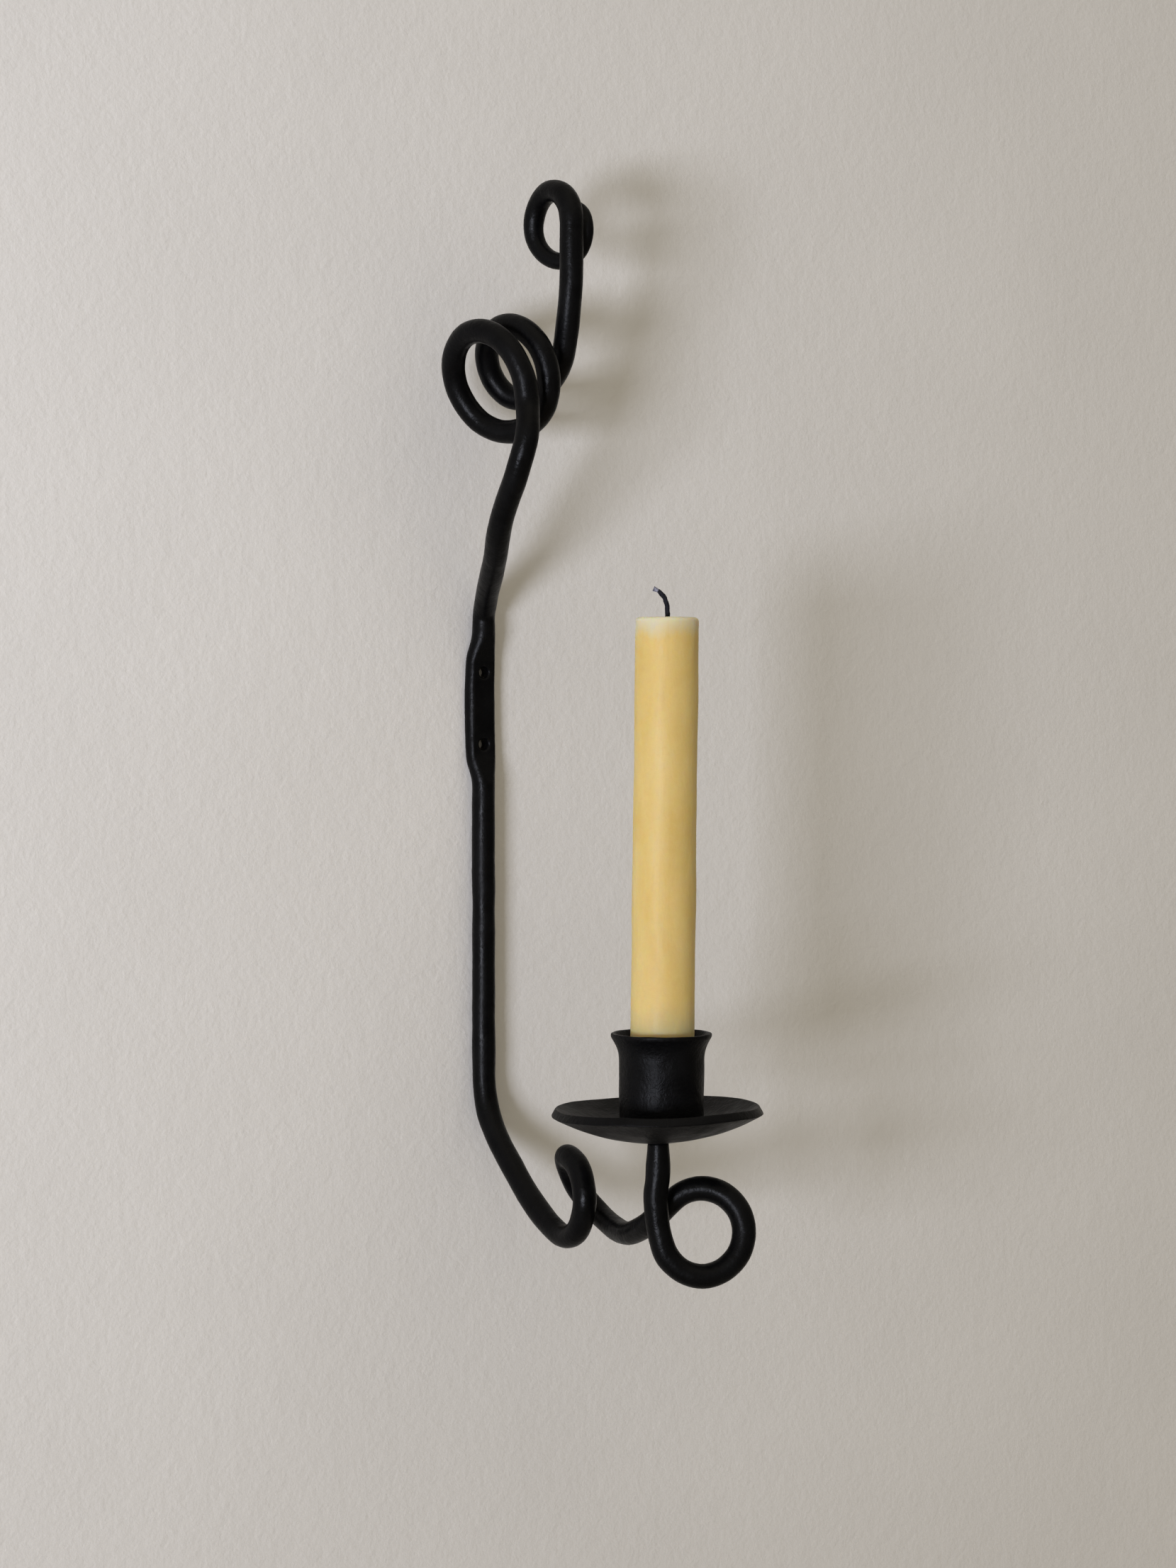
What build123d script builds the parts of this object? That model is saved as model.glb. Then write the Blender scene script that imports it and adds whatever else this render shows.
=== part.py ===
from build123d import *
from math import asin, cos, degrees, radians, sin, sqrt, tan
import os

# A hand-forged wall sconce for one dinner candle, in millimetres.
# The wall is the plane y = 0, the sconce stands out towards -Y, and +Z is up.
# The origin is midway between the two screw holes, on the back of the bar.
# One round bar is curled, coiled and bent from its top to the riveted tenon that
# holds the drip pan and the candle cup at its other end.

# Bar and its overall layout
bar_diameter = 8.5
stem_clearance = 0.35  # between the round stem and the wall, so that only the pad touches it
stem_drop = 137.0  # screw holes' middle down to the end of the straight stem
coil_rise = 125.5  # screw holes' middle up to the middle of the coil's first turn
curl_rise = 172.7  # screw holes' middle up to the middle of the top curl
reach = 108.8  # wall to the candle's axis

# Flattened pad with two screw holes
pad_width = 11.7
pad_thickness = 5.2
pad_swell = 8.6  # depth of the spread bar before its two faces are hammered flat
pad_margin = 3.6  # pad beyond the middle of each end hole
pad_top_run = 11.0
pad_bottom_run = 12.0
hole_spacing = 26.5
hole_diameter = 4.2
hole_chamfer = 0.4

# Top curl, tapering to a thin tail
curl_stand = 47.4  # wall to the middle of the curl
curl_half_depth = 11.5
curl_half_height = 12.3
curl_tail_gap = 0.75  # between the stem and the tail that passes beside it
curl_tail_shrink = 3.8
curl_end_angle = 440
curl_taper_even = 0.45  # share of the radius lost evenly along the tail
curl_taper_tip = 0.32  # share lost near the tip

# Double coil between the upper stem and the stem on the wall
coil_stand = 39.3  # wall to the middle of the first turn
coil_side = -0.6
coil_turn_gap = 3.9  # between one turn and the next, sideways
coil_pitch_forward = 0.4
coil_pitch_drop = 6.6
coil_first_radius = 15.7
coil_last_radius = 20.8
coil_first_height = 0.925  # height of the first turn over its depth
coil_last_height = 1.08
coil_yaw = 13.0
coil_lean = 18.0
coil_start_angle = 132
coil_end_angle = 732
coil_step = 24

# Pigtail under the candle
pigtail_side = 15.6  # candle's axis to the middle of the pigtail
pigtail_drop = 45.0  # end of the straight stem down to the pigtail's middle
pigtail_half_width = 14.9
pigtail_half_height = 15.3
pigtail_gap = 1.2  # between the upright and the arm that crosses behind it
pigtail_yaw = -37.0
pigtail_step = 30

# Drip pan, a shallow dish
pan_diameter = 73.6
pan_dish_radius = 75.0  # of the sphere that its underside follows
pan_thickness = 3.1
pan_drop = 13.2  # end of the straight stem down to the pan's underside
pan_seat_diameter = 8.6
pan_edge_fillet = 0.5

# Candle cup
cup_diameter = 29.4
cup_wall = 2.1
cup_floor = 2.4
cup_height = 33.1
cup_offset = 1.2  # the cup's floor is punched this far off its middle
cup_lip_diameter = 35.0
cup_lip_depth = 8.0
cup_lip_edge = 1.5
cup_lip_thickness = 1.3
cup_edge_fillet = 0.4

# Tenon at the bar's end, its washer and its peened head
neck_diameter = 7.4
neck_length = 8.0
neck_run = 5.0  # straight bar below the neck
tenon_diameter = 5.0
tenon_clearance = 0.05
washer_diameter = 12.0
washer_thickness = 1.2
head_diameter = 8.4
head_height = 2.0

# Candle and wick
candle_diameter = 22.2
candle_length = 170.0
candle_taper = 0.35  # how much thinner the top is
candle_lean = 0.65
candle_edge = 1.6
candle_clearance = 0.15
wick_diameter = 1.35
wick_clearance = 0.02
wick_buried = 6.0
wick_bends = [(0, 3.0), (-1.2, 6.2), (-2.9, 8.0), (-4.6, 9.1)]  # across and up

bar_radius = bar_diameter / 2
pad_half_height = hole_spacing / 2 + pad_margin
coil_pitch = Vector(-bar_diameter - coil_turn_gap, -coil_pitch_forward, -coil_pitch_drop)
pigtail_depth = bar_diameter + pigtail_gap
candle_line = Vector(0, -reach, 0)
stem_stand = bar_radius + stem_clearance
stem_end = Vector(0, -stem_stand, -stem_drop)


def softened(points):
    """Radii that round each corner of a route as much as its shorter run allows."""
    radii = []
    for before, corner, after in zip(points, points[1:], points[2:]):
        runs = (corner - before, after - corner)
        half_turn = radians(runs[0].get_angle(runs[1])) / 2
        radii.append(0.46 * min(run.length for run in runs) / tan(half_turn))
    return radii


def smooth_step(share):
    """Ease from 0 to 1."""
    share = min(max(share, 0), 1)
    return share * share * (3 - 2 * share)


def curl_radius(angle):
    """The curl's bar radius, thinner along the tail."""
    share = max(angle - 50, 0) / (curl_end_angle - 50)
    return bar_radius * (1 - curl_taper_even * share - curl_taper_tip * share**4)


def curl_point(angle):
    """The curl's centre line: up from its front, over to the wall, down and beside the stem."""
    shrink = curl_tail_shrink * smooth_step((angle - 350) / 90)
    side_step = bar_radius + curl_radius(350) + curl_tail_gap
    middle = Vector(side_step * smooth_step((angle - 170) / 170), -curl_stand, curl_rise)
    depth = (curl_half_depth - shrink) * cos(radians(angle))
    height = (curl_half_height - shrink) * sin(radians(angle))
    return middle + Vector(0, -depth, height)


def coil_point(angle):
    """The coil's centre line: down from its foremost point, up the wall side and over the top."""
    turns = angle / 360
    radius = coil_first_radius + (coil_last_radius - coil_first_radius) * turns / 2
    height = radius * (coil_first_height + (coil_last_height - coil_first_height) * turns / 2)
    yaw = radians(coil_yaw)
    lean = radians(coil_lean)
    forward = Vector(sin(yaw), -cos(yaw), 0)
    upward = Vector(-sin(lean) * cos(yaw), -sin(lean) * sin(yaw), cos(lean))
    middle = Vector(coil_side, -coil_stand, coil_rise) + coil_pitch * turns
    return middle + forward * radius * cos(radians(angle)) - upward * height * sin(radians(angle))


def pigtail_point(angle):
    """The pigtail's centre line, seen from its front: 90 is its top and 0 its right."""
    yaw = radians(pigtail_yaw)
    sideways = Vector(cos(yaw), sin(yaw), 0)
    backward = Vector(-sin(yaw), cos(yaw), 0)
    middle = candle_line + Vector(0, 0, -stem_drop - pigtail_drop) + sideways * pigtail_side
    across = sideways * pigtail_half_width * cos(radians(angle))
    back = backward * pigtail_depth * smooth_step((angle + 150) / 300)
    return middle + across + back + Vector(0, 0, pigtail_half_height * sin(radians(angle)))


# Heights around the candle's seat
underside = -stem_drop - pan_drop
dish_middle = underside + pan_dish_radius
hollow_radius = pan_dish_radius - pan_thickness


def hollow_height(radius):
    """Height of the dish's upper face at a distance from the candle's axis."""
    return dish_middle - sqrt(hollow_radius**2 - radius**2)


seat_radius = pan_seat_diameter / 2
shoulder = dish_middle - sqrt(pan_dish_radius**2 - seat_radius**2)
cup_foot = hollow_height(cup_diameter / 2 + cup_offset)
washer_top = cup_foot + cup_floor + washer_thickness
head_top = washer_top + head_height
candle_foot = head_top + candle_clearance

head_radius = head_diameter / 2
dome_radius = (head_radius**2 + head_height**2) / (2 * head_height)
pan_sweep = degrees(asin(pan_diameter / 2 / pan_dish_radius))
cup_top = cup_foot + cup_height
cup_bore_radius = cup_diameter / 2 - cup_wall

# Planes and axes of the round pieces
lean_side = Vector(cos(radians(pigtail_yaw)), sin(radians(pigtail_yaw)), 0)
cup_line = candle_line + lean_side * cup_offset
tenon_axis = Axis(candle_line, (0, 0, 1))
cup_axis = Axis(cup_line, (0, 0, 1))
tenon_plane = Plane(candle_line, x_dir=(1, 0, 0), z_dir=(0, -1, 0))
cup_plane = Plane(cup_line, x_dir=(1, 0, 0), z_dir=(0, -1, 0))
candle_up = Vector(0, 0, cos(radians(candle_lean))) + lean_side * sin(radians(candle_lean))
candle_plane = Plane(
    cup_line + Vector(0, 0, candle_foot),
    x_dir=lean_side - candle_up * lean_side.dot(candle_up),
    z_dir=candle_up,
)
pad_levels = [pad_half_height + pad_top_run * step / 5 for step in range(5, -1, -1)]
pad_levels += [-pad_half_height - pad_bottom_run * step / 5 for step in range(6)]

# Route of the bar's upper half, from the curl's front to the top of the pad
pad_start = Vector(0, -stem_stand, pad_half_height + pad_top_run)
curl_front = curl_point(0)
coil_middle = Vector(0, -coil_stand, coil_rise)
upper_route = [
    curl_front,
    curl_front + Vector(0, 0, -14),
    curl_front + Vector(0.2, 1.2, -28),
    coil_middle + Vector(1.0, -15.6, 9),
    coil_middle + Vector(2.4, -10.5, -3),
    coil_middle + Vector(1.2, 1.5, -13.5),
]
for angle in range(coil_start_angle, coil_end_angle + 1, coil_step):
    upper_route.append(coil_point(angle))
upper_route += [
    coil_middle + Vector(-23.5, -25.5, -30),
    coil_middle + Vector(-25, -20.5, -44),
    pad_start + Vector(-22, -41.0, 38),
    pad_start + Vector(-15.5, -29.5, 27),
    pad_start + Vector(-9.5, -18.5, 20),
    pad_start + Vector(-4.0, -8.0, 14),
    pad_start + Vector(0, 0, 7),
    pad_start,
]

# Route of the bar's lower half, from the pad's foot to the neck under the pan
pad_end = Vector(0, -stem_stand, -pad_half_height - pad_bottom_run)
lower_route = [
    pad_end,
    stem_end,
    stem_end + Vector(0, -2.0, -11),
    stem_end + Vector(0, -9.5, -22),
    stem_end + Vector(0, -19.5, -32),
    stem_end + Vector(0, -29, -41),
]
loop_middle = stem_end + Vector(4, -54, -37)
lower_route += [
    loop_middle + Vector(-4.0, 14.0, -11.8),
    loop_middle + Vector(-4.5, 3.0, -16.0),
    loop_middle + Vector(-5.9, -7.2, -12.0),
    loop_middle + Vector(-6.7, -12.5, 0),
    loop_middle + Vector(-5.8, -8.0, 10.5),
    loop_middle + Vector(-4.4, 2.8, 15.3),
    loop_middle + Vector(1.5, 9.5, 8.5),
    loop_middle + Vector(8.0, 11.0, -1.0),
    loop_middle + Vector(11.5, 5.0, -8.0),
    loop_middle + Vector(10.5, -7.0, -12.5),
]
crossing = pigtail_point(150)
lower_route += [
    crossing + Vector(2.5, 24, -12.5),
    crossing + Vector(0, 8, -6),
]
for angle in range(150, -151, -pigtail_step):
    lower_route.append(pigtail_point(angle))
lower_route += [
    candle_line + Vector(-0.3, 0.3, -stem_drop - pigtail_drop + 3),
    candle_line + Vector(-0.8, 0.5, -stem_drop - pigtail_drop + 14),
    candle_line + Vector(0, 0, shoulder - neck_length - neck_run),
    candle_line + Vector(0, 0, shoulder - neck_length),
]

# One forged bar: screw pad, tapered curl, coiled stem, looped arm, neck and tenon
with BuildPart() as forged_bar:
    # The pad spreads sideways in a smooth bulge, then is hammered flat front and back
    for level in pad_levels:
        beyond = abs(level) - pad_half_height
        run = pad_top_run if level > 0 else pad_bottom_run
        spread = 1 - smooth_step(beyond / run)
        depth = bar_radius + (pad_swell / 2 - bar_radius) * spread
        width = bar_radius + (pad_width / 2 - bar_radius) * spread
        middle = -stem_stand + (stem_stand - pad_thickness / 2) * spread
        with BuildSketch(Plane.XY.offset(level)):
            with Locations((0, middle)):
                if spread > 0:
                    Ellipse(width, depth)
                else:
                    Circle(bar_radius)
    loft()
    with BuildSketch(Plane.YZ):
        with BuildLine():
            Polyline(
                (-pad_thickness, -pad_half_height),
                (-pad_thickness, pad_half_height),
                (-bar_diameter - 2 * stem_clearance, pad_levels[0]),
                (-2 * bar_diameter, pad_levels[0]),
                (-2 * bar_diameter, pad_levels[-1]),
                (-bar_diameter - 2 * stem_clearance, pad_levels[-1]),
                close=True,
            )
        make_face()
    extrude(amount=pad_width, both=True, mode=Mode.SUBTRACT)
    with Locations((0, bar_diameter, 0)):
        Box(2 * pad_width, 2 * bar_diameter, 2 * pad_levels[0], mode=Mode.SUBTRACT)
    with BuildSketch(Plane.XZ):
        with GridLocations(0, hole_spacing, 1, 2):
            Circle(hole_diameter / 2)
    extrude(amount=bar_diameter, mode=Mode.SUBTRACT)
    hole_edges = forged_bar.edges().filter_by(GeomType.CIRCLE).filter_by(
        lambda edge: abs(edge.radius - hole_diameter / 2) < 0.01
    )
    chamfer(hole_edges.group_by(Axis.Y)[0], length=hole_chamfer)

    # The top curl
    for angle in range(0, curl_end_angle + 1, 20):
        tangent = curl_point(angle + 1) - curl_point(angle - 1)
        with BuildSketch(Plane(curl_point(angle), x_dir=(1, 0, 0), z_dir=tangent)):
            Circle(curl_radius(angle))
    loft()

    # The round bar above and below the pad
    for route in (upper_route, lower_route):
        with BuildLine() as line:
            FilletPolyline(route, radius=softened(route))
        with BuildSketch(Plane(route[0], x_dir=(1, 0, 0), z_dir=route[1] - route[0])):
            Circle(bar_radius)
        sweep(path=line.wires()[0])

    # The neck, the tenon and its peened head
    with BuildSketch(tenon_plane):
        with BuildLine():
            foot = Line((0, shoulder - neck_length), (bar_radius, shoulder - neck_length))
            neck = Polyline(
                foot @ 1,
                (neck_diameter / 2, shoulder),
                (tenon_diameter / 2, shoulder),
                (tenon_diameter / 2, washer_top),
                (head_diameter / 2, washer_top),
            )
            dome = RadiusArc(neck @ 1, (0, head_top), -dome_radius)
            Line(dome @ 1, foot @ 0)
        make_face()
    revolve(axis=tenon_axis)

# Drip pan: a dish of even thickness with its edge square to its face
with BuildPart() as drip_pan:
    with BuildSketch(tenon_plane):
        with BuildLine():
            under = CenterArc((0, dish_middle), pan_dish_radius, -90, pan_sweep)
            upper = CenterArc((0, dish_middle), hollow_radius, -90, pan_sweep)
            Line(under @ 1, upper @ 1)
            Line(under @ 0, upper @ 0)
        make_face()
        with BuildLine():
            Polyline(
                (0, underside - pan_thickness),
                (seat_radius, underside - pan_thickness),
                (seat_radius, shoulder),
                (0, shoulder),
                close=True,
            )
        make_face(mode=Mode.SUBTRACT)
    revolve(axis=tenon_axis)
    rim_edges = drip_pan.edges().filter_by(Plane.XY).sort_by(lambda edge: edge.radius)
    fillet(rim_edges[-2:], radius=pan_edge_fillet)
    with BuildSketch(Plane.XY.offset(underside - pan_thickness)):
        with Locations(candle_line):
            Circle(tenon_diameter / 2 + tenon_clearance)
    extrude(amount=3 * pan_thickness, mode=Mode.SUBTRACT)

# Candle cup: a straight tube with a floor and a flared lip
with BuildPart() as candle_cup:
    with BuildSketch(cup_plane):
        with BuildLine():
            floor = Polyline(
                (0, cup_foot + cup_floor),
                (0, cup_foot),
                (cup_diameter / 2, cup_foot),
                (cup_diameter / 2, cup_top - cup_lip_depth),
            )
            flare = TangentArc(floor @ 1, (cup_lip_diameter / 2, cup_top - cup_lip_edge), tangent=(0, 1))
            lip = Polyline(
                flare @ 1,
                (cup_lip_diameter / 2, cup_top),
                (cup_lip_diameter / 2 - cup_lip_thickness, cup_top),
            )
            inside = Line(floor @ 0, (cup_bore_radius, cup_foot + cup_floor))
            wall = Line(inside @ 1, (cup_bore_radius, cup_top - cup_lip_depth))
            TangentArc(wall @ 1, lip @ 1, tangent=(0, 1))
        make_face()
    revolve(axis=cup_axis)
    lip_edges = candle_cup.edges().filter_by(Plane.XY).group_by(Axis.Z)[-1]
    fillet(lip_edges, radius=cup_edge_fillet)
    with BuildSketch(Plane.XY.offset(cup_foot)):
        with Locations(candle_line):
            Circle(tenon_diameter / 2 + tenon_clearance)
    extrude(amount=cup_floor, mode=Mode.SUBTRACT)

# Washer under the peened head
with BuildPart() as rivet_washer:
    with BuildSketch(Plane.XY.offset(cup_foot + cup_floor)):
        with Locations(candle_line):
            Circle(washer_diameter / 2)
            Circle(tenon_diameter / 2 + tenon_clearance, mode=Mode.SUBTRACT)
    extrude(amount=washer_thickness)

# Candle: a slightly tapered stick with a soft upper edge and a hole for its wick
with BuildPart() as candle:
    with BuildSketch(candle_plane):
        Circle(candle_diameter / 2)
    with BuildSketch(candle_plane.offset(candle_length)):
        Circle((candle_diameter - candle_taper) / 2)
    loft()
    fillet(candle.faces().sort_by(Axis.Z)[-1].edges(), radius=candle_edge)
    with BuildSketch(candle_plane.offset(candle_length - wick_buried)):
        Circle(wick_diameter / 2 + wick_clearance)
    extrude(amount=2 * wick_buried, mode=Mode.SUBTRACT)

# Wick: upright where it leaves the wax, then bent over
with BuildPart() as wick:
    wick_route = [candle_plane.from_local_coords(Vector(0, 0, candle_length - wick_buried))]
    for across, up in wick_bends:
        wick_route.append(candle_plane.from_local_coords(Vector(across, 0, candle_length + up)))
    with BuildLine() as wick_line:
        FilletPolyline(wick_route, radius=softened(wick_route))
    with BuildSketch(Plane(wick_route[0], z_dir=candle_plane.z_dir)):
        Circle(wick_diameter / 2)
    sweep(path=wick_line.wires()[0])

nodes = {
    "forged_bar": forged_bar,
    "drip_pan": drip_pan,
    "candle_cup": candle_cup,
    "rivet_washer": rivet_washer,
    "candle": candle,
    "wick": wick,
}
os.makedirs("parts", exist_ok=True)
for name, node in nodes.items():
    node.part.label = name
    export_step(node.part, f"parts/{name}.step")
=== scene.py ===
import math

import bpy
from mathutils import Matrix, Vector


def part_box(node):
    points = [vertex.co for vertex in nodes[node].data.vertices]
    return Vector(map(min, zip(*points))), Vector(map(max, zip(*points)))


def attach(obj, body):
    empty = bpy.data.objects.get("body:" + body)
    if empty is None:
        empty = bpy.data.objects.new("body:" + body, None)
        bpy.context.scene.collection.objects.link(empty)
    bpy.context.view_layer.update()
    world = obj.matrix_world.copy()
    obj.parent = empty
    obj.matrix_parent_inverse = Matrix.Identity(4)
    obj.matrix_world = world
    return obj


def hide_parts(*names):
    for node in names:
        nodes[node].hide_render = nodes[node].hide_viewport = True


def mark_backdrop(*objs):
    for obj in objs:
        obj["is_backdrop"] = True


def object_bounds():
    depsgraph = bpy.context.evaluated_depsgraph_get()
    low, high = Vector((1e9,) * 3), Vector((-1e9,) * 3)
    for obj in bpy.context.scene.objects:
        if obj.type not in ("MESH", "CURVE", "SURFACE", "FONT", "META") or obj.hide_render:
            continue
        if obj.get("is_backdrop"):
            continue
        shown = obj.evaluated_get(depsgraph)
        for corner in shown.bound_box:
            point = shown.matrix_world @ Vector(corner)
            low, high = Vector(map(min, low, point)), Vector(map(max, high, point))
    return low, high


# Forged wall sconce with a dinner candle, in metres: the wall is y = 0 and the room is towards -Y.
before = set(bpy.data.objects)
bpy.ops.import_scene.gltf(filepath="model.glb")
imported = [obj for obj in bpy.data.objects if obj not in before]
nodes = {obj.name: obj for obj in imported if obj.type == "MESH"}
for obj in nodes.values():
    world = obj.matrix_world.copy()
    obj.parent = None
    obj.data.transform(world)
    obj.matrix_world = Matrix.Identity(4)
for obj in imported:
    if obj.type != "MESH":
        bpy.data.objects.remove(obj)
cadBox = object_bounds()

mm = 0.001
up = Vector((0, 0, 1))
joinDistance = 0.02 * mm


# Selection and modelling helpers

def letGo():
    if bpy.context.object and bpy.context.object.mode != "OBJECT":
        bpy.ops.object.mode_set(mode="OBJECT")
    bpy.ops.object.select_all(action="DESELECT")


def pick(piece):
    letGo()
    bpy.context.view_layer.objects.active = piece
    piece.select_set(True)


def placeInMesh(piece):
    pick(piece)
    bpy.ops.object.transform_apply(location=True, rotation=True, scale=True)


def addModifier(piece, kind, **settings):
    modifier = piece.modifiers.new(kind.title(), kind)
    for key, value in settings.items():
        setattr(modifier, key, value)
    pick(piece)
    bpy.ops.object.modifier_apply(modifier=modifier.name)


def startRing(name, middle, radius, points):
    # a ring of edges in edit mode, ready to be drawn out
    letGo()
    bpy.ops.mesh.primitive_circle_add(
        vertices=points, radius=radius, fill_type="NOTHING", location=middle
    )
    piece = bpy.context.object
    piece.name = name
    piece.data.name = name
    placeInMesh(piece)
    bpy.ops.object.mode_set(mode="EDIT")
    bpy.ops.mesh.select_all(action="SELECT")
    return piece


def drawOut(rise, share, middle):
    # the ring goes up by rise and takes share of its width around middle
    bpy.ops.mesh.extrude_region_move(TRANSFORM_OT_translate={"value": (0, 0, rise)})
    bpy.ops.transform.resize(value=(share, share, 1), center_override=middle)


def turnProfile(name, middle, profile, points, closed=False):
    # profile: (radius, height) pairs, drawn out ring by ring round an upright axis
    radius, height = profile[0]
    piece = startRing(name, middle + up * height, radius, points)
    for nextRadius, nextHeight in profile[1:]:
        drawOut(nextHeight - height, nextRadius / radius, middle + up * nextHeight)
        radius, height = nextRadius, nextHeight
    bpy.ops.mesh.select_all(action="SELECT")
    if closed:
        bpy.ops.mesh.remove_doubles(threshold=joinDistance)
    bpy.ops.mesh.normals_make_consistent(inside=False)
    bpy.ops.object.mode_set(mode="OBJECT")
    return piece


def fillEnds(piece):
    # both open ends filled and every face turned outwards
    pick(piece)
    bpy.ops.object.mode_set(mode="EDIT")
    bpy.ops.mesh.select_all(action="SELECT")
    bpy.ops.mesh.fill_holes(sides=0)
    bpy.ops.mesh.select_all(action="SELECT")
    bpy.ops.mesh.normals_make_consistent(inside=False)
    bpy.ops.object.mode_set(mode="OBJECT")


def roundEdges(piece, width, angle):
    addModifier(
        piece, "BEVEL", width=width, segments=3,
        limit_method="ANGLE", angle_limit=math.radians(angle),
    )


def dent(piece, name, size, depth, detail=0, middle=0.5, **settings):
    # lumps of the given size, their depth shared between in and out by middle
    texture = bpy.data.textures.new(name, "CLOUDS")
    texture.noise_scale = size
    texture.noise_depth = detail
    addModifier(
        piece, "DISPLACE", texture=texture, texture_coords="LOCAL",
        strength=depth, mid_level=middle, **settings,
    )


def smoothShade(piece, angle=None):
    pick(piece)
    if angle:
        bpy.ops.object.shade_smooth_by_angle(angle=math.radians(angle))
    else:
        bpy.ops.object.shade_smooth()


def blendIn(share):
    share = min(max(share, 0), 1)
    return share * share * (3 - 2 * share)


# Material helpers

def newMaterial(name):
    material = bpy.data.materials.new(name)
    material.use_nodes = True
    tree = material.node_tree
    return material, tree, tree.nodes["Principled BSDF"]


def addNode(tree, kind, **settings):
    node = tree.nodes.new(kind)
    for key, value in settings.items():
        setattr(node, key, value)
    return node


def objectCoords(tree, scale=(1, 1, 1)):
    coords = addNode(tree, "ShaderNodeTexCoord")
    mapping = addNode(tree, "ShaderNodeMapping")
    mapping.inputs["Scale"].default_value = scale
    tree.links.new(coords.outputs["Object"], mapping.inputs["Vector"])
    return mapping.outputs["Vector"]


def noise(tree, vector, scale, detail=4, roughness=0.55, distortion=0):
    node = addNode(tree, "ShaderNodeTexNoise")
    node.inputs["Scale"].default_value = scale
    node.inputs["Detail"].default_value = detail
    node.inputs["Roughness"].default_value = roughness
    node.inputs["Distortion"].default_value = distortion
    tree.links.new(vector, node.inputs["Vector"])
    return node.outputs["Fac"]


def ramp(tree, factor, stops):
    node = addNode(tree, "ShaderNodeValToRGB")
    elements = node.color_ramp.elements
    while len(elements) < len(stops):
        elements.new(0.5)
    for element, (place, colour) in zip(elements, stops):
        element.position = place
        element.color = (*colour, 1)
    tree.links.new(factor, node.inputs["Fac"])
    return node.outputs["Color"]


def remap(tree, factor, fromLow, fromHigh, toLow, toHigh):
    node = addNode(tree, "ShaderNodeMapRange")
    ends = {"From Min": fromLow, "From Max": fromHigh, "To Min": toLow, "To Max": toHigh}
    for key, value in ends.items():
        node.inputs[key].default_value = value
    tree.links.new(factor, node.inputs["Value"])
    return node.outputs["Result"]


def mixColour(tree, factor, first, second):
    node = addNode(tree, "ShaderNodeMix", data_type="RGBA")
    sockets = (node.inputs[0], node.inputs[6], node.inputs[7])  # factor and the two colours
    for socket, value in zip(sockets, (factor, first, second)):
        if isinstance(value, bpy.types.NodeSocket):
            tree.links.new(value, socket)
        elif isinstance(value, (int, float)):
            socket.default_value = value
        else:
            socket.default_value = (*value, 1)
    return node.outputs[2]


def combine(tree, operation, first, second):
    node = addNode(tree, "ShaderNodeMath", operation=operation)
    for socket, value in zip(node.inputs, (first, second)):
        if isinstance(value, bpy.types.NodeSocket):
            tree.links.new(value, socket)
        else:
            socket.default_value = value
    return node.outputs["Value"]


def addBump(tree, shader, layers):
    # layers: (height socket, depth in metres), each laid over the last
    normal = None
    for height, depth in layers:
        bump = addNode(tree, "ShaderNodeBump")
        bump.inputs["Strength"].default_value = 1
        bump.inputs["Distance"].default_value = depth
        tree.links.new(height, bump.inputs["Height"])
        if normal:
            tree.links.new(normal, bump.inputs["Normal"])
        normal = bump.outputs["Normal"]
    tree.links.new(normal, shader.inputs["Normal"])


def facingUp(tree, low, high):
    # 0 on sides and undersides, 1 where the surface faces up
    geometry = addNode(tree, "ShaderNodeNewGeometry")
    split = addNode(tree, "ShaderNodeSeparateXYZ")
    tree.links.new(geometry.outputs["Normal"], split.inputs["Vector"])
    return remap(tree, split.outputs["Z"], low, high, 0, 1)


# Forged iron: black, satin, with the scale and hammer grain of the fire left on it
ironFinish = {
    "dark": (0.0009, 0.0009, 0.0011),
    "light": (0.0021, 0.0021, 0.0024),
    "upwardTint": (0.014, 0.013, 0.011),
    "specular": 0.07,
    "patchScale": 130,
    "grainScale": 900,
    "pitScale": 2600,
}
# each iron's tint on upward faces, least and most roughness, and depth of grain
ironWear = {
    "barIron": (0.10, 0.28, 0.42, 0.16 * mm),
    "panIron": (0.08, 0.36, 0.50, 0.26 * mm),
    "cupIron": (0.10, 0.36, 0.50, 0.30 * mm),
    "washerSteel": (0.1, 0.4, 0.55, 0.10 * mm),
}


def makeIron(name, finish, upwardTintAmount, roughLow, roughHigh, grain):
    material, tree, shader = newMaterial(name)
    coords = objectCoords(tree)
    patches = noise(tree, coords, finish["patchScale"], 5, 0.6)
    scaleGrain = noise(tree, coords, finish["grainScale"], 3, 0.6)
    pits = noise(tree, coords, finish["pitScale"], 2, 0.5)
    metal = ramp(tree, patches, [(0.32, finish["dark"]), (0.68, finish["light"])])
    speckled = remap(tree, scaleGrain, 0.3, 0.7, 0.55, 1)
    # lighter, browner and rougher where the surface faces up
    upwardTintSpread = combine(tree, "MULTIPLY", facingUp(tree, 0.25, 0.95), speckled)
    patchy = remap(tree, patches, 0.3, 0.7, upwardTintAmount * 0.5, upwardTintAmount)
    upwardTinted = combine(tree, "MULTIPLY", upwardTintSpread, patchy)
    colour = mixColour(tree, upwardTinted, metal, finish["upwardTint"])
    tree.links.new(colour, shader.inputs["Base Color"])
    roughMetal = remap(tree, patches, 0.3, 0.7, roughLow, roughHigh)
    roughness = combine(tree, "ADD", roughMetal, combine(tree, "MULTIPLY", upwardTinted, 0.35))
    tree.links.new(roughness, shader.inputs["Roughness"])
    shader.inputs["Specular IOR Level"].default_value = finish["specular"]
    layers = [(patches, grain * 2.2), (scaleGrain, grain * 0.55), (pits, grain * 0.12)]
    addBump(tree, shader, layers)
    return material


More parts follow.
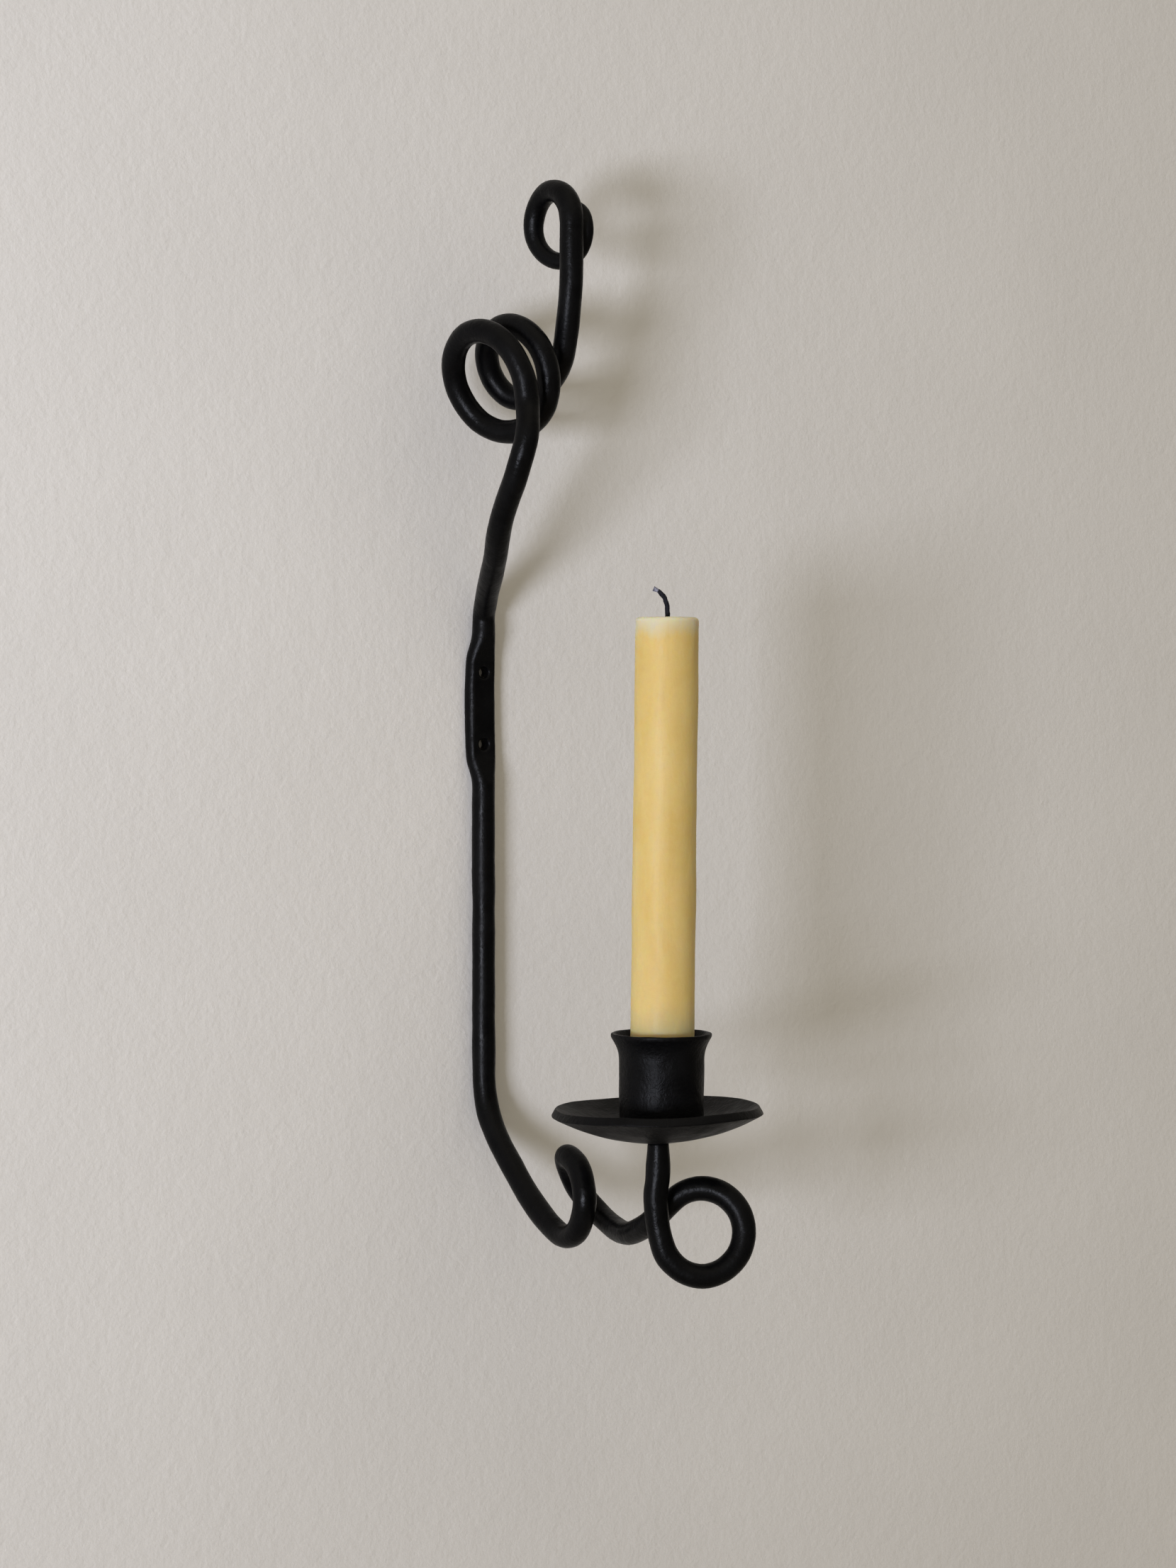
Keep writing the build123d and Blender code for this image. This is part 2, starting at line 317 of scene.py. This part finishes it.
barIron, panIron, cupIron, washerSteel = (
    makeIron(name, ironFinish, *wear) for name, wear in ironWear.items()
)
print("iron:", len(ironWear), "finishes")


# The bar: the CAD bar's own shape, remeshed evenly, then hammered
barShape = {
    "join": 0.002 * mm,
    "voxel": 0.65 * mm,
    "softness": 0.5,
    "softening": 4,  # rounds of smoothing
    "facetSize": 11 * mm,
    "facetDepth": 0.40 * mm,
    "facetLevel": 0.4,
    "dentSize": 3.2 * mm,
    "dentDepth": 0.08 * mm,
    "backEdge": 0.2 * mm,  # no blow lands nearer to the wall than this
    "flatBack": 1.2 * mm,
}


def makeBar(shape):
    letGo()
    mesh = nodes["forged_bar"].data.copy()
    bar = bpy.data.objects.new("forgedBar", mesh)
    mesh.name = "forgedBar"
    bpy.context.scene.collection.objects.link(bar)
    pick(bar)
    bpy.ops.object.mode_set(mode="EDIT")
    bpy.ops.mesh.select_all(action="SELECT")
    bpy.ops.mesh.remove_doubles(threshold=shape["join"])
    bpy.ops.object.mode_set(mode="OBJECT")
    addModifier(bar, "REMESH", mode="VOXEL", voxel_size=shape["voxel"], use_smooth_shade=True)
    addModifier(bar, "SMOOTH", factor=shape["softness"], iterations=shape["softening"])
    # the pad's back stays flat on the wall
    struck = bar.vertex_groups.new(name="struck")
    for vertex in bar.data.vertices:
        share = blendIn((-vertex.co.y - shape["backEdge"]) / shape["flatBack"])
        struck.add([vertex.index], share, "REPLACE")
    dent(
        bar, "hammerFacets", shape["facetSize"], shape["facetDepth"],
        middle=shape["facetLevel"], vertex_group="struck",
    )
    dent(
        bar, "hammerDents", shape["dentSize"], shape["dentDepth"],
        detail=1, vertex_group="struck",
    )
    bar.vertex_groups.clear()
    mesh.materials.clear()
    mesh.materials.append(barIron)
    return bar


forgedBar = makeBar(barShape)
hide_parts("forged_bar")
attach(forgedBar, "sconce")
print("forged bar:", len(forgedBar.data.polygons), "faces")


# The drip pan: a dish beaten from sheet, a little uneven at its rim
panLow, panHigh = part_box("drip_pan")
panMiddle = Vector(((panLow.x + panHigh.x) / 2, (panLow.y + panHigh.y) / 2, 0))
panShape = {
    "radius": 36.8 * mm,
    "dishRadius": 75.0 * mm,
    "thickness": 3.1 * mm,
    "hole": 2.6 * mm,
    "rings": 16,
    "points": 128,
    "edge": 0.35 * mm,
    "edgeAngle": 40,
    "tilt": 1.1,
    "tiltAxis": 37,  # degrees round from the wall's normal
    "rimStart": 0.45,  # the rim's waves begin at this share of the radius
    "rimWave": 0.7 * mm,
    "waveSize": 26 * mm,
    "dentSize": 9 * mm,
    "dentDepth": 0.3 * mm,
}


def makePan(shape):
    bottom = panLow.z
    dishMiddle = bottom + shape["dishRadius"]
    rimAngle = math.asin(shape["radius"] / shape["dishRadius"])
    holeAngle = math.asin(shape["hole"] / shape["dishRadius"])

    def face(dishRadius, outward):
        points = []
        for step in range(shape["rings"] + 1):
            share = step / shape["rings"]
            angle = holeAngle + (rimAngle - holeAngle) * (share if outward else 1 - share)
            points.append((dishRadius * math.sin(angle), dishMiddle - dishRadius * math.cos(angle)))
        return points

    under = face(shape["dishRadius"], True)
    above = face(shape["dishRadius"] - shape["thickness"], False)
    profile = under + above + [under[0]]
    pan = turnProfile("dripPan", panMiddle, profile, shape["points"], closed=True)
    roundEdges(pan, shape["edge"], shape["edgeAngle"])
    addModifier(pan, "SUBSURF", levels=1, render_levels=1)
    rim = pan.vertex_groups.new(name="rim")
    for vertex in pan.data.vertices:
        out = (Vector((vertex.co.x, vertex.co.y, 0)) - panMiddle).length / shape["radius"]
        share = blendIn((out - shape["rimStart"]) / (1 - shape["rimStart"]))
        rim.add([vertex.index], share, "REPLACE")
    dent(pan, "rimWave", shape["waveSize"], shape["rimWave"], direction="Z", vertex_group="rim")
    dent(pan, "panDents", shape["dentSize"], shape["dentDepth"], direction="Z")
    pan.vertex_groups.clear()
    side = math.radians(shape["tiltAxis"])
    tiltAxis = Vector((math.sin(side), math.cos(side), 0))
    tilt = Matrix.Rotation(math.radians(-shape["tilt"]), 4, tiltAxis)
    centre = panMiddle + up * bottom
    pan.data.transform(Matrix.Translation(centre) @ tilt @ Matrix.Translation(-centre))
    pan.data.materials.append(panIron)
    smoothShade(pan, 45)
    return pan


dripPan = makePan(panShape)
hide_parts("drip_pan")
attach(dripPan, "sconce")
print("drip pan:", len(dripPan.data.polygons), "faces")


# The cup: a tube with a flared lip, hand finished
cupLow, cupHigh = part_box("candle_cup")
cupMiddle = Vector(((cupLow.x + cupHigh.x) / 2, (cupLow.y + cupHigh.y) / 2, 0))
cupShape = {
    "outer": 14.7 * mm,
    "wall": 2.1 * mm,
    "floor": 2.4 * mm,
    "hole": 3.9 * mm,
    "lip": 17.5 * mm,
    "lipDepth": 9.5 * mm,
    "lipEdge": 1.2 * mm,
    "lipThickness": 1.3 * mm,
    "flare": 2.1,  # how late the lip turns outwards
    "edge": 0.4 * mm,
    "edgeAngle": 35,
    "wallSteps": 14,
    "flareSteps": 10,
    "points": 112,
    "sink": 0.3 * mm,  # how far the foot goes below the CAD cup's
    "dentSize": 8 * mm,
    "dentDepth": 0.45 * mm,
}


def makeCup(shape):
    foot, top = cupLow.z, cupHigh.z
    outer, inner = shape["outer"], shape["outer"] - shape["wall"]
    lipFoot, lipTop = top - shape["lipDepth"], top - shape["lipEdge"]
    profile = [(shape["hole"], foot - shape["sink"])]
    for share in (0.3, 0.55, 0.8, 1):
        profile.append((shape["hole"] + (outer - shape["hole"]) * share, foot - shape["sink"]))
    wallSteps, flareSteps = shape["wallSteps"], shape["flareSteps"]
    for step in range(1, wallSteps + 1):
        profile.append((outer, foot + (lipFoot - foot) * step / wallSteps))
    for step in range(1, flareSteps + 1):
        share = step / flareSteps
        spread = (shape["lip"] - outer) * share ** shape["flare"]
        profile.append((outer + spread, lipFoot + (lipTop - lipFoot) * share))
    insideLip = shape["lip"] - shape["lipThickness"]
    profile += [(shape["lip"], top), (insideLip, top)]
    for step in range(1, flareSteps + 1):
        share = 1 - step / flareSteps
        spread = (insideLip - inner) * share ** shape["flare"]
        profile.append((inner + spread, lipFoot + (top - lipFoot) * share))
    floorTop = foot + shape["floor"]
    for step in range(1, wallSteps + 1):
        profile.append((inner, lipFoot + (floorTop - lipFoot) * step / wallSteps))
    for share in (0.7, 0.35, 0):
        profile.append((shape["hole"] + (inner - shape["hole"]) * share, floorTop))
    profile.append(profile[0])
    cup = turnProfile("candleCup", cupMiddle, profile, shape["points"], closed=True)
    roundEdges(cup, shape["edge"], shape["edgeAngle"])
    addModifier(cup, "SUBSURF", levels=1, render_levels=1)
    dent(cup, "cupDents", shape["dentSize"], shape["dentDepth"])
    cup.data.materials.append(cupIron)
    smoothShade(cup, 45)
    return cup


candleCup = makeCup(cupShape)
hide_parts("candle_cup")
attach(candleCup, "sconce")
print("candle cup:", len(candleCup.data.polygons), "faces")

# the washer inside the cup keeps its own mesh
nodes["rivet_washer"].data.materials.clear()
nodes["rivet_washer"].data.materials.append(washerSteel)
print("rivet washer:", len(nodes["rivet_washer"].data.polygons), "faces")


# Beeswax: warm yellow, paler where the wax has bloomed at its top, and at its foot a greyer bloom
# darkened by painted shade where the wax meets the cup's lip
candleLow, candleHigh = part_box("candle")
candleMiddle = Vector((cupMiddle.x, cupMiddle.y, 0))
waxFinish = {
    "deep": (0.49, 0.345, 0.103),
    "body": (0.53, 0.392, 0.14),
    "pale": (0.55, 0.43, 0.185),
    "bloom": (0.48, 0.46, 0.33),
    # foot: greyer bloom darkened by painted shade, just above the cup's rim
    "foot": (0.40, 0.345, 0.18),
    "glow": 1.0,
    "depth": 8 * mm,
    "topBloom": 7 * mm,
    "footBloomAndShadeReach": 12 * mm,
    "ragged": 3.5 * mm,  # how far a bloom's edge wanders
    "glowSpread": (1, 0.55, 0.18),
    "specular": 0.2,
    "cloudScale": 70,
    "mottleScale": 260,
    "speckScale": 900,
    "cloudDepth": 0.5 * mm,
    "mottleDepth": 0.12 * mm,
    "speckDepth": 0.025 * mm,
}


def makeWax(finish):
    material, tree, shader = newMaterial("beeswax")
    coords = objectCoords(tree)
    stretched = objectCoords(tree, (1, 1, 0.3))
    clouds = noise(tree, stretched, finish["cloudScale"], 4, 0.6, 0.4)
    mottle = noise(tree, coords, finish["mottleScale"], 4, 0.65)
    speck = noise(tree, coords, finish["speckScale"], 3, 0.6)
    shades = [(0.3, finish["deep"]), (0.52, finish["body"]), (0.75, finish["pale"])]
    colour = ramp(tree, clouds, shades)
    colour = mixColour(tree, remap(tree, mottle, 0.35, 0.7, 0, 0.45), colour, finish["pale"])
    colour = mixColour(tree, remap(tree, speck, 0.5, 0.75, 0, 0.3), colour, finish["deep"])
    split = addNode(tree, "ShaderNodeSeparateXYZ")
    tree.links.new(coords, split.inputs["Vector"])
    height = split.outputs["Z"]
    ragged = finish["ragged"]
    wavy = combine(tree, "ADD", height, remap(tree, clouds, 0.3, 0.7, -ragged, ragged))
    top, rim = candleHigh.z, cupHigh.z
    atTop = remap(tree, wavy, top - finish["topBloom"], top - 0.5 * mm, 0, 1)
    # painted shade with a greyer bloom: the foot band darkens the wax just above the cup's rim
    nearRim = remap(tree, wavy, rim + finish["footBloomAndShadeReach"], rim, 0, 0.8)
    inCup = remap(tree, wavy, rim - finish["footBloomAndShadeReach"], rim - 3 * mm, 0.2, 1)
    bloomAndShadeAtFoot = combine(tree, "MULTIPLY", nearRim, inCup)
    colour = mixColour(tree, atTop, colour, finish["bloom"])
    colour = mixColour(tree, bloomAndShadeAtFoot, colour, finish["foot"])
    tree.links.new(colour, shader.inputs["Base Color"])
    tree.links.new(remap(tree, mottle, 0.3, 0.7, 0.42, 0.58), shader.inputs["Roughness"])
    shader.inputs["Subsurface Weight"].default_value = finish["glow"]
    shader.inputs["Subsurface Radius"].default_value = finish["glowSpread"]
    shader.inputs["Subsurface Scale"].default_value = finish["depth"]
    shader.inputs["Specular IOR Level"].default_value = finish["specular"]
    depths = [finish["cloudDepth"], finish["mottleDepth"], finish["speckDepth"]]
    addBump(tree, shader, zip((clouds, mottle, speck), depths))
    return material


# The candle: hand-dipped, a little uneven, its top melted into a shallow pool
candleShape = {
    "radius": 11.1 * mm,
    "taper": 0.17 * mm,
    "length": 171.1 * mm,
    "centre": 0.12 * mm,  # the middle's small ring, filled at the end
    "footEdge": 0.6 * mm,
    "edge": 1.4 * mm,
    "pool": 0.9 * mm,
    "wickSink": 0.2 * mm,
    "lean": 0.65,
    "leanTo": -37,
    "rings": 56,
    "edgeRings": 5,
    "points": 72,
    "lumpSize": 22 * mm,
    "lumpDepth": 0.32 * mm,
    "dentSize": 6 * mm,
    "dentDepth": 0.14 * mm,
}


def makeCandle(shape):
    foot = candleLow.z
    top = foot + shape["length"]
    radius, topRadius = shape["radius"], shape["radius"] - shape["taper"]
    edge, footEdge = shape["edge"], shape["footEdge"]
    profile = [(shape["centre"], foot), (radius * 0.5, foot)]
    profile += [(radius - footEdge, foot), (radius, foot + footEdge)]
    side = top - edge - foot - footEdge
    for step in range(1, shape["rings"] + 1):
        share = step / shape["rings"]
        profile.append((radius + (topRadius - radius) * share, foot + footEdge + side * share))
    for step in range(1, shape["edgeRings"] + 1):
        turn = math.pi / 2 * step / shape["edgeRings"]
        inwards, down = edge * (1 - math.cos(turn)), edge * (1 - math.sin(turn))
        profile.append((topRadius - inwards, top - down))
    for share in (0.85, 0.7, 0.55, 0.4, 0.28, 0.18, 0.1):
        profile.append(((topRadius - edge) * share, top - shape["pool"] * blendIn(1 - share)))
    profile.append((shape["centre"], top - shape["pool"] - shape["wickSink"]))
    candle = turnProfile("candleStick", candleMiddle, profile, shape["points"])
    fillEnds(candle)
    addModifier(candle, "SUBSURF", levels=1, render_levels=1)
    dent(candle, "waxLumps", shape["lumpSize"], shape["lumpDepth"])
    dent(candle, "waxDents", shape["dentSize"], shape["dentDepth"], detail=1)
    smoothShade(candle)
    return candle


def findLean(shape):
    # both the candle and its wick lean a little to the right, seen from the front of the sconce
    side = math.radians(shape["leanTo"])
    axis = up.cross(Vector((math.cos(side), math.sin(side), 0)))
    foot = candleMiddle + up * candleLow.z
    turn = Matrix.Rotation(math.radians(shape["lean"]), 4, axis)
    return Matrix.Translation(foot) @ turn @ Matrix.Translation(-foot)


candleLean = findLean(candleShape)
candleStick = makeCandle(candleShape)
candleStick.data.transform(candleLean)
candleStick.data.materials.append(makeWax(waxFinish))
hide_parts("candle")
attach(candleStick, "candle")
print("candle:", len(candleStick.data.polygons), "faces")


# The wick: three charred strands, bent over, with a little ash near the tip
wickShape = {
    "radius": 0.80 * mm,
    "lobe": 1.16,
    "points": 18,
    "twist": 13,  # degrees a step
    "route": [  # sideways and height from the wax, in millimetres
        (0, -6), (0, -3), (0, 0), (0.05, 1.9), (-0.1, 3.7), (-0.5, 5.4),
        (-1.2, 6.9), (-2.2, 8.2), (-3.5, 9.2), (-4.9, 9.9),
    ],
    "widths": [1, 1, 1, 1, 0.96, 0.94, 0.94, 0.98, 0.76, 1.1],
    "steps": 5,
    "crumbSize": 0.7 * mm,
    "crumbDepth": 0.22 * mm,
}
wickFinish = {
    "char": (0.003, 0.003, 0.006),
    "soot": (0.008, 0.008, 0.013),
    "ash": (0.24, 0.24, 0.30),
    "ashFrom": (2.1 * mm, 1.6 * mm),  # comes in between these distances from the tip
    "ashTo": (0.7 * mm, 1.2 * mm),  # and goes again between these
    "roughness": 0.7,
    "specular": 0.15,
    "grainScale": 2200,
    "grainDepth": 0.12 * mm,
}


def wickPoint(route, place):
    # a smooth line through the route's points
    last = len(route) - 1
    index = min(int(place), last - 1)
    t = place - index
    around = [route[min(max(index + offset, 0), last)] for offset in (-1, 0, 1, 2)]
    found = []
    for axis in (0, 1):
        a, b, c, d = (point[axis] for point in around)
        bend = 2 * a - 5 * b + 4 * c - d
        swing = 3 * b - a - 3 * c + d
        found.append(0.5 * (2 * b + (c - a) * t + bend * t * t + swing * t**3))
    return found


def turnRing(axis, angle, middle):
    # with no window the operator turns the other way round
    bpy.ops.transform.rotate(
        value=-angle, orient_axis=axis, orient_type="GLOBAL", center_override=middle
    )


def makeWick(shape):
    # drawn out in the plane y = 0, then turned and set on the candle
    steps = (len(shape["route"]) - 1) * shape["steps"]
    places = [step / shape["steps"] for step in range(steps + 1)]
    line = []
    for place in places:
        sideways, height = wickPoint(shape["route"], place)
        line.append(Vector((sideways * mm, 0, height * mm)))
    wick = startRing("wickStrands", line[0], shape["radius"], shape["points"])
    bpy.ops.mesh.select_all(action="DESELECT")
    bpy.ops.object.mode_set(mode="OBJECT")
    # half of the ring's points stand out, in three groups, one for each strand
    for vertex in wick.data.vertices:
        vertex.select = vertex.index % 6 in (0, 1, 5)
    bpy.ops.object.mode_set(mode="EDIT")
    lobe = (shape["lobe"], shape["lobe"], 1)
    bpy.ops.transform.resize(value=lobe, center_override=line[0])
    bpy.ops.mesh.select_all(action="SELECT")
    width, heading = 1, 0
    for index in range(1, len(line)):
        run = line[index] - line[index - 1]
        bpy.ops.mesh.extrude_region_move(TRANSFORM_OT_translate={"value": run})
        newHeading = math.atan2(run.x, run.z)
        turnRing("Y", -heading, line[index])
        turnRing("Z", math.radians(shape["twist"]), line[index])
        turnRing("Y", newHeading, line[index])
        heading = newHeading
        place = places[index]
        low = min(int(place), len(shape["widths"]) - 2)
        before, after = shape["widths"][low : low + 2]
        newWidth = before + (after - before) * (place - low)
        share = newWidth / width
        width = newWidth
        bpy.ops.transform.resize(value=(share, share, share), center_override=line[index])
    fillEnds(wick)
    addModifier(wick, "SUBSURF", levels=1, render_levels=1)
    dent(wick, "wickCrumbs", shape["crumbSize"], shape["crumbDepth"], detail=1)
    smoothShade(wick)
    waxTop = candleMiddle + up * (candleLow.z + candleShape["length"])
    turned = Matrix.Rotation(math.radians(candleShape["leanTo"]), 4, "Z")
    stand = candleLean @ Matrix.Translation(waxTop) @ turned
    wick.data.transform(stand)
    return wick, stand @ line[-1]


def makeChar(finish, tip):
    material, tree, shader = newMaterial("charredWick")
    coords = objectCoords(tree)
    grain = noise(tree, coords, finish["grainScale"], 3, 0.6)
    colour = ramp(tree, grain, [(0.35, finish["char"]), (0.7, finish["soot"])])
    reach = addNode(tree, "ShaderNodeVectorMath", operation="DISTANCE")
    reach.inputs[1].default_value = tip
    tree.links.new(coords, reach.inputs[0])
    toTip = reach.outputs["Value"]
    near = remap(tree, toTip, *finish["ashFrom"], 0, 1)
    beyond = remap(tree, toTip, *finish["ashTo"], 0.12, 1)
    band = combine(tree, "MULTIPLY", near, beyond)
    patchy = combine(tree, "MULTIPLY", band, remap(tree, grain, 0.35, 0.5, 0.5, 1))
    colour = mixColour(tree, patchy, colour, finish["ash"])
    tree.links.new(colour, shader.inputs["Base Color"])
    shader.inputs["Roughness"].default_value = finish["roughness"]
    shader.inputs["Specular IOR Level"].default_value = finish["specular"]
    addBump(tree, shader, [(grain, finish["grainDepth"])])
    return material


wickStrands, wickTip = makeWick(wickShape)
wickStrands.data.materials.append(makeChar(wickFinish, wickTip))
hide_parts("wick")
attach(wickStrands, "candle")
print("wick:", len(wickStrands.data.polygons), "faces")


# The room: a painted wall behind the sconce and a pale floor far below it
roomShape = {"wallSize": 5.0, "floorDrop": 1.5, "wallGap": 0.1 * mm}
wallPaint = {
    "base": (0.60, 0.58, 0.55),
    "shade": (0.58, 0.56, 0.53),
    "roughness": 0.6,
    "specular": 0.25,
    "broadScale": 9,
    "dappleScale": 130,
    "stippleScale": 420,
    "dappleDepth": 0.30 * mm,
    "stippleDepth": 0.22 * mm,
}
floorPaint = {"base": (0.62, 0.60, 0.57), "roughness": 0.7}


def makeWallPaint(finish):
    # seen only from the room: its back is clear, so views from behind show the sconce
    material, tree, shader = newMaterial("wallPaint")
    coords = objectCoords(tree)
    broad = noise(tree, coords, finish["broadScale"], 3, 0.5)
    stipple = noise(tree, coords, finish["stippleScale"], 4, 0.62)
    dapple = noise(tree, coords, finish["dappleScale"], 3, 0.55)
    colour = ramp(tree, broad, [(0.35, finish["shade"]), (0.65, finish["base"])])
    tree.links.new(colour, shader.inputs["Base Color"])
    shader.inputs["Roughness"].default_value = finish["roughness"]
    shader.inputs["Specular IOR Level"].default_value = finish["specular"]
    addBump(tree, shader, [(dapple, finish["dappleDepth"]), (stipple, finish["stippleDepth"])])
    geometry = addNode(tree, "ShaderNodeNewGeometry")
    clear = addNode(tree, "ShaderNodeBsdfTransparent")
    choose = addNode(tree, "ShaderNodeMixShader")
    tree.links.new(geometry.outputs["Backfacing"], choose.inputs["Fac"])
    tree.links.new(shader.outputs["BSDF"], choose.inputs[1])
    tree.links.new(clear.outputs["BSDF"], choose.inputs[2])
    output = tree.nodes["Material Output"]
    tree.links.new(choose.outputs["Shader"], output.inputs["Surface"])
    return material


def makeRoom(shape):
    letGo()
    size = shape["wallSize"]
    bpy.ops.mesh.primitive_plane_add(
        size=size, location=(0, shape["wallGap"], 0), rotation=(math.pi / 2, 0, 0)
    )
    wall = bpy.context.object
    wall.name = "roomWall"
    wall.data.materials.append(makeWallPaint(wallPaint))
    letGo()
    bpy.ops.mesh.primitive_plane_add(size=size, location=(0, -size / 2, -shape["floorDrop"]))
    floor = bpy.context.object
    floor.name = "roomFloor"
    material, tree, shader = newMaterial("floorPaint")
    shader.inputs["Base Color"].default_value = (*floorPaint["base"], 1)
    shader.inputs["Roughness"].default_value = floorPaint["roughness"]
    floor.data.materials.append(material)
    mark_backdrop(wall, floor)


makeRoom(roomShape)
print("room: wall and floor")


# Light: one soft window from the left and a little below, and the room's own light
lightPlan = {
    "target": (0, -0.05, 0),
    "travel": (1.66, 1.0, 0.22),
    "distance": 2.5,
    "width": 0.60,
    "height": 0.40,
    "aim": (-0.55, 0, 0.10),
    "spread": 66,
    "power": 9.5,
    "colour": (0.83, 0.865, 1.0),
    "room": 0.98,
    "roomDark": 0.14,
    "roomColour": (1.0, 0.925, 0.775),
    "brightSide": (-0.5, 0.15, 0.85),
    "darkSide": -0.6,
    "bounce": 2.7,
    "bounceSize": 1.4,
    "bouncePlace": (-0.4, -1.3, 1.5),
}


def makeLight(plan):
    travel = Vector(plan["travel"]).normalized()
    target = Vector(plan["target"])
    data = bpy.data.lights.new("window", "AREA")
    data.shape = "RECTANGLE"
    data.size = plan["width"]
    data.size_y = plan["height"]
    data.energy = plan["power"]
    data.color = plan["colour"]
    data.spread = math.radians(plan["spread"])
    window = bpy.data.objects.new("window", data)
    window.location = target - travel * plan["distance"]
    facing = Vector(plan["aim"]) - window.location
    window.rotation_euler = facing.to_track_quat("-Z", "Y").to_euler()
    bpy.context.scene.collection.objects.link(window)
    data = bpy.data.lights.new("ceilingBounce", "AREA")
    data.size = plan["bounceSize"]
    data.energy = plan["bounce"]
    data.color = plan["roomColour"]
    bounce = bpy.data.objects.new("ceilingBounce", data)
    bounce.location = plan["bouncePlace"]
    bounce.rotation_euler = (target - bounce.location).to_track_quat("-Z", "Y").to_euler()
    bpy.context.scene.collection.objects.link(bounce)
    world = bpy.data.worlds.new("room")
    world.use_nodes = True
    tree = world.node_tree
    background = tree.nodes["Background"]
    background.inputs["Color"].default_value = (*plan["roomColour"], 1)
    # lighter towards the ceiling and the window, dark in the depth of the room
    coords = addNode(tree, "ShaderNodeTexCoord")
    toBright = addNode(tree, "ShaderNodeVectorMath", operation="DOT_PRODUCT")
    toBright.inputs[1].default_value = Vector(plan["brightSide"]).normalized()
    tree.links.new(coords.outputs["Generated"], toBright.inputs[0])
    toRoom = toBright.outputs["Value"]
    strength = remap(tree, toRoom, plan["darkSide"], 1, plan["roomDark"], plan["room"])
    tree.links.new(strength, background.inputs["Strength"])
    bpy.context.scene.world = world


makeLight(lightPlan)
print("light:", lightPlan["power"], "W window,", lightPlan["bounce"], "W ceiling bounce, and the room")


# Camera: level with the screw holes, off to the left, looking 37 degrees off the wall's normal
cameraPlan = {
    "place": (-0.7556, -1.0713, -0.0005),
    "azimuth": 37,
    "pitch": -1.2,
    "lens": 81.37,
    "sensor": 36,
    "nearest": 0.01,
    "farthest": 50,
}


def makeCamera(plan):
    data = bpy.data.cameras.new("camera")
    data.lens = plan["lens"]
    data.sensor_width = plan["sensor"]
    data.clip_start = plan["nearest"]
    data.clip_end = plan["farthest"]
    camera = bpy.data.objects.new("camera", data)
    camera.location = plan["place"]
    heading, pitch = math.radians(plan["azimuth"]), math.radians(plan["pitch"])
    level = math.cos(pitch)
    look = Vector((math.sin(heading) * level, math.cos(heading) * level, math.sin(pitch)))
    camera.rotation_euler = look.to_track_quat("-Z", "Y").to_euler()
    bpy.context.scene.collection.objects.link(camera)
    bpy.context.scene.camera = camera


makeCamera(cameraPlan)
bpy.context.scene.view_settings.view_transform = "Standard"
print("camera:", cameraPlan["lens"], "mm lens")

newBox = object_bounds()
for name, box in (("CAD", cadBox), ("visual", newBox)):
    print(name, "box:", [round(value, 4) for corner in box for value in corner])
